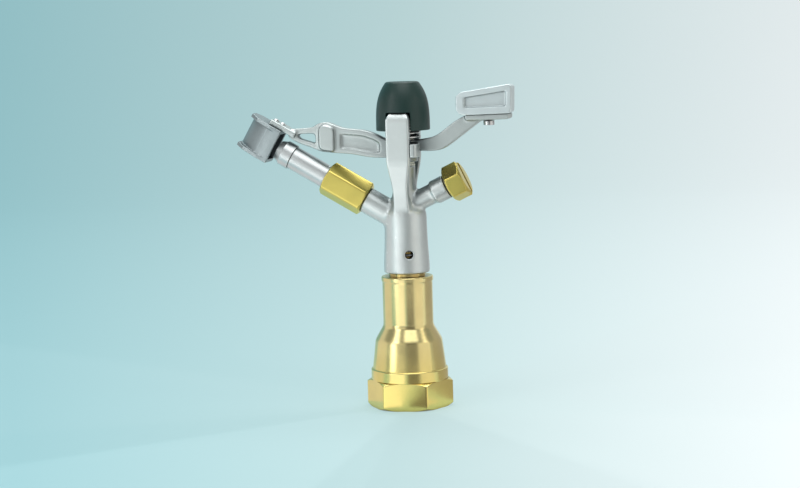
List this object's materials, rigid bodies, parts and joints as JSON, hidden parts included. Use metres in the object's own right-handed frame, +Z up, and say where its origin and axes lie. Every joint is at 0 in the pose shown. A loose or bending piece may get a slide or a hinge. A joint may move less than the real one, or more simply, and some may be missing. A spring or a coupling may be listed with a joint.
{
  "type": "impact sprinkler",
  "caption": "Impact sprinkler: threaded brass inlet sleeve, turning cast head with a long range nozzle and a short spreader nozzle, and a sprung drive arm with spoon and counterweight.",
  "frame": {"origin": "centre of the inlet's lower face, which is the mouth of its female thread", "axes": "+Z up along the spindle; the range nozzle points to -X, the spreader nozzle and the counterweight to +X; the bridge's legs stand at +Y and -Y"},
  "size_m": [0.1608, 0.0448, 0.1843],
  "materials": {
    "brass": "turned, polished",
    "nozzle_brass": "machined",
    "cast_alloy": "die cast, satin",
    "arm_alloy": "die cast, satin",
    "tube_alloy": "drawn, satin",
    "spoon_alloy": "cast, dull grey",
    "stainless": "stainless, bright",
    "spring_wire": "stainless spring wire",
    "black_plastic": "moulded, semi-gloss black",
    "nylon": "natural nylon",
    "seal_rubber": "matte black"
  },
  "bodies": {
    "root": {"inlet_sleeve": "brass", "sleeve_washer": "nylon", "seal_washer": "seal_rubber"},
    "spring_pack": {"thrust_washer": "stainless", "bearing_spring": "spring_wire"},
    "head": {"spindle_tube": "brass", "flange_washer": "nylon", "spring_seat": "stainless", "head_casting": "cast_alloy", "spindle_o_ring": "seal_rubber", "range_gasket": "seal_rubber", "range_coupling": "nozzle_brass", "range_tube": "tube_alloy", "stream_straightener": "nylon", "range_nozzle": "tube_alloy", "spreader_gasket": "seal_rubber", "spreader_nozzle": "nozzle_brass", "pivot_pin": "stainless", "pivot_washer": "nylon", "arm_spring": "spring_wire", "pin_washer": "stainless", "pin_nut": "stainless", "spring_cap": "black_plastic"},
    "arm": {"drive_arm": "arm_alloy", "lower_bushing": "nylon", "upper_bushing": "nylon", "arm_washer": "stainless", "deflector": "spoon_alloy", "deflector_rivets": "stainless", "counterweight": "arm_alloy", "counterweight_screw": "stainless"}
  },
  "joints": [
    {"name": "head_spin", "type": "hinge", "parent": "root", "child": "spring_pack", "pos_m": [0, 0, 0.079], "axis": [0, 0, 1], "continuous": true},
    {"name": "head_press", "type": "slide", "parent": "spring_pack", "child": "head", "axis": [0, 0, 1], "range_m": [-0.0018, 0], "stiffness_N_per_m": 3000, "springref_m": 0.006, "deforming": ["bearing_spring"]},
    {"name": "arm_swing", "type": "hinge", "parent": "head", "child": "arm", "pos_m": [0, 0, 0.1455], "axis": [0, 0, 1], "range_deg": [0, 50], "stiffness_Nm_per_rad": 0.03, "springref_deg": -85.94, "deforming": ["arm_spring"]}
  ]
}
